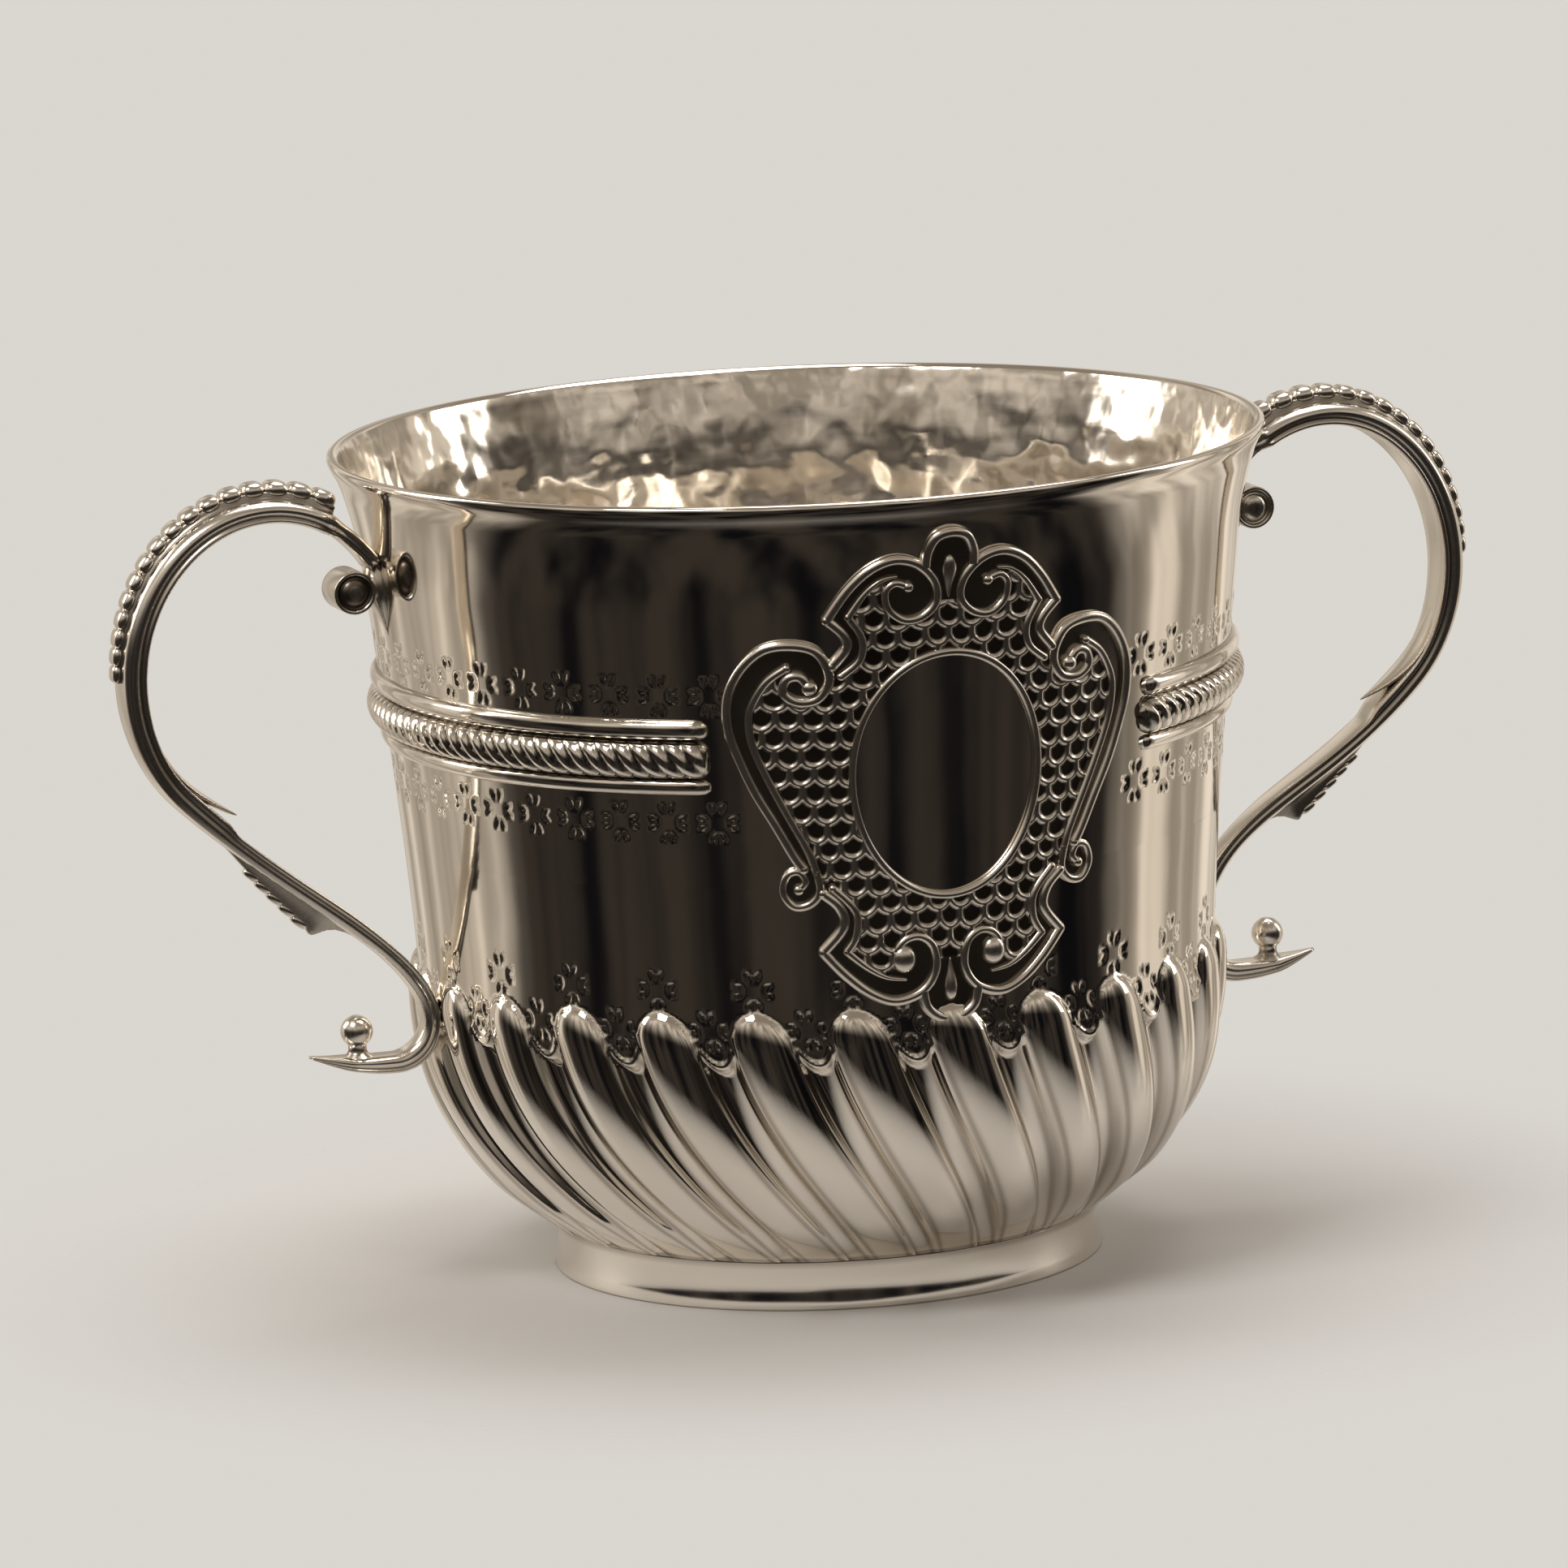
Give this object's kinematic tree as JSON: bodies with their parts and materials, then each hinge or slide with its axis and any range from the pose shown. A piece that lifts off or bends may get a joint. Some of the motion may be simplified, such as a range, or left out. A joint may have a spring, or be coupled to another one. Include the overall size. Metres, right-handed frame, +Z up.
{
  "type": "two-handled caudle cup",
  "caption": "Deep silver cup with flared lip, swirled lobes and flutes above a plain foot ring, corded girdle, scroll cartouche and a pair of beaded scroll handles.",
  "frame": {"origin": "Middle of the foot ring's resting face, on the cup's axis.", "axes": "+Z up along the cup's axis, +X through the right handle, the cartouche faces -Y."},
  "size_m": [0.1944, 0.1268, 0.113],
  "materials": {
    "silver_body": "polished silver with a warm tone",
    "silver_chased": "polished silver, darker in the chasing",
    "silver_cast": "cast silver with dark recesses"
  },
  "bodies": {
    "root": {"bowl": "silver_body", "foot_ring": "silver_body", "girdle_upper_reed": "silver_chased", "girdle_cord": "silver_chased", "girdle_lower_reed": "silver_chased", "cartouche_frame": "silver_chased", "oval_border": "silver_chased", "left_handle": "silver_cast", "left_bead_strip": "silver_cast", "left_lower_bead_strip": "silver_cast", "left_volute": "silver_cast", "left_ball": "silver_cast", "right_handle": "silver_cast", "right_bead_strip": "silver_cast", "right_lower_bead_strip": "silver_cast", "right_volute": "silver_cast", "right_ball": "silver_cast"}
  },
  "joints": []
}
